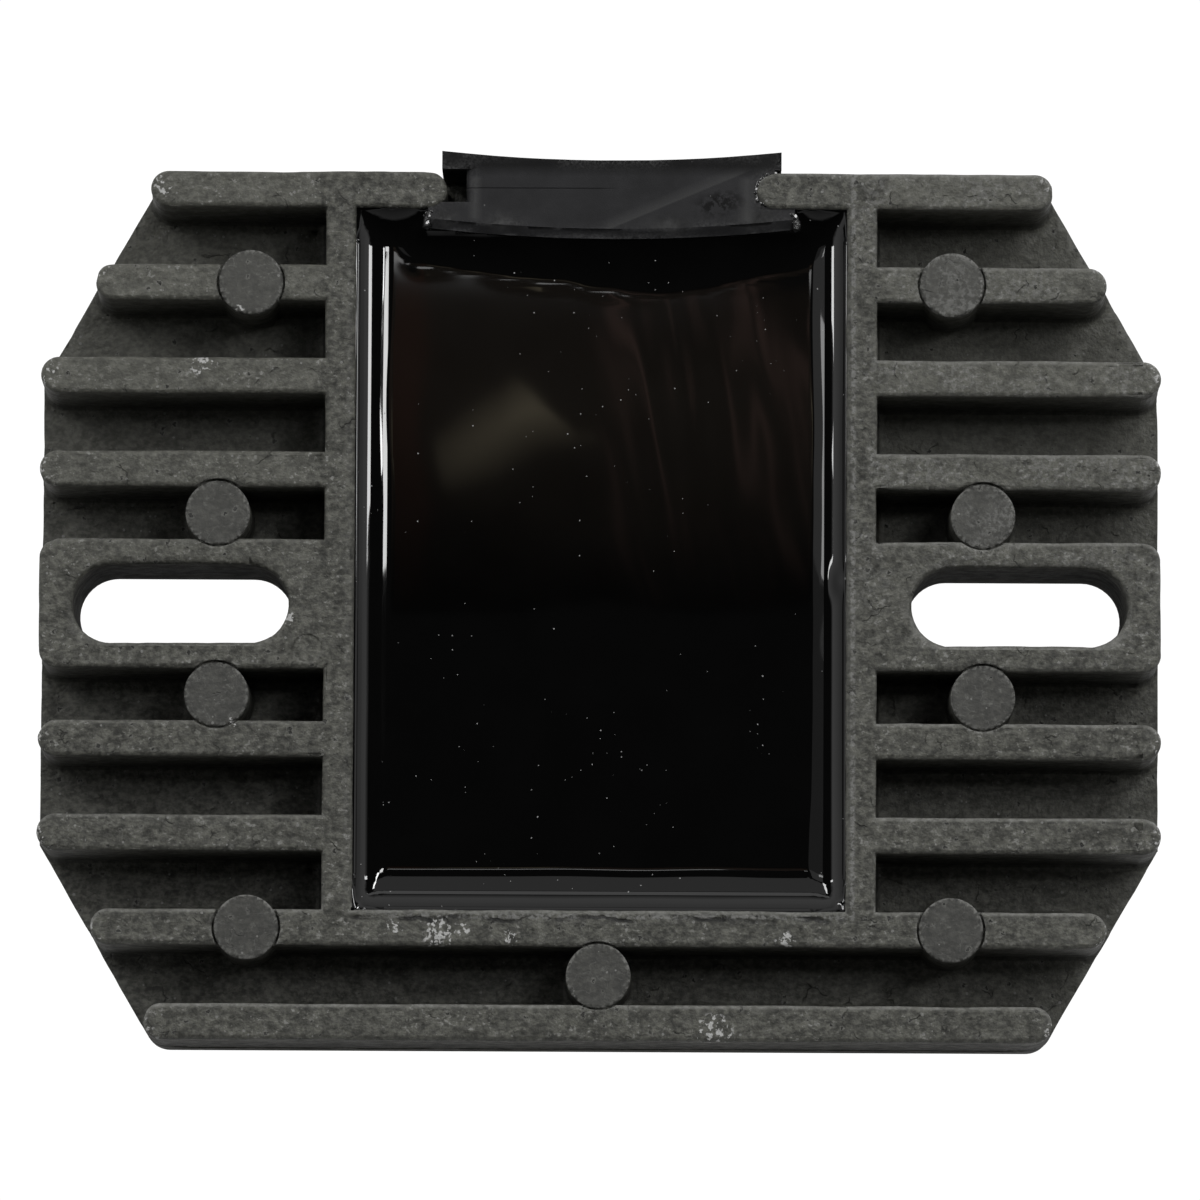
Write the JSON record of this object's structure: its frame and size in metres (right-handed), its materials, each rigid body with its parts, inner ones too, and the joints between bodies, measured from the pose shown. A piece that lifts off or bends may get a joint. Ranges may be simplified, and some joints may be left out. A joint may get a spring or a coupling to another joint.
{
  "type": "voltage regulator rectifier",
  "caption": "Finned die-cast regulator rectifier with a resin-filled well, a rubber wire grommet and long mounting slots in its side bosses.",
  "frame": {"origin": "midway between the two mounting slots, on the flat back face", "axes": "+X along the fins, +Y towards the wire grommet, +Z out of the finned side"},
  "size_m": [0.1, 0.0794, 0.015],
  "materials": {
    "cast_alloy": "matt as-cast, dark grey",
    "resin": "glossy black potting resin",
    "grommet_rubber": "satin moulded rubber",
    "board": "glass-fibre board with solder mask",
    "insulating_sheet": "thin silicone sheet",
    "power_device": "moulded epoxy on a plated tab",
    "chip": "moulded epoxy",
    "capacitor": "ceramic"
  },
  "bodies": {
    "root": {"heat_sink_housing": "cast_alloy", "potting_resin": "resin", "wire_grommet": "grommet_rubber", "circuit_board": "board", "thyristor_pad": "insulating_sheet", "diode_pad": "insulating_sheet", "filter_capacitor": "capacitor", "thyristor_1": "power_device", "thyristor_2": "power_device", "thyristor_3": "power_device", "rectifier_diode_1": "power_device", "rectifier_diode_2": "power_device", "rectifier_diode_3": "power_device", "control_chip": "chip", "gate_transistor_1": "chip", "gate_transistor_2": "chip", "gate_transistor_3": "chip", "gate_resistor_1": "chip", "gate_resistor_2": "chip", "gate_resistor_3": "chip", "reference_diode": "chip", "sense_resistor_1": "chip", "sense_resistor_2": "chip"}
  },
  "joints": []
}
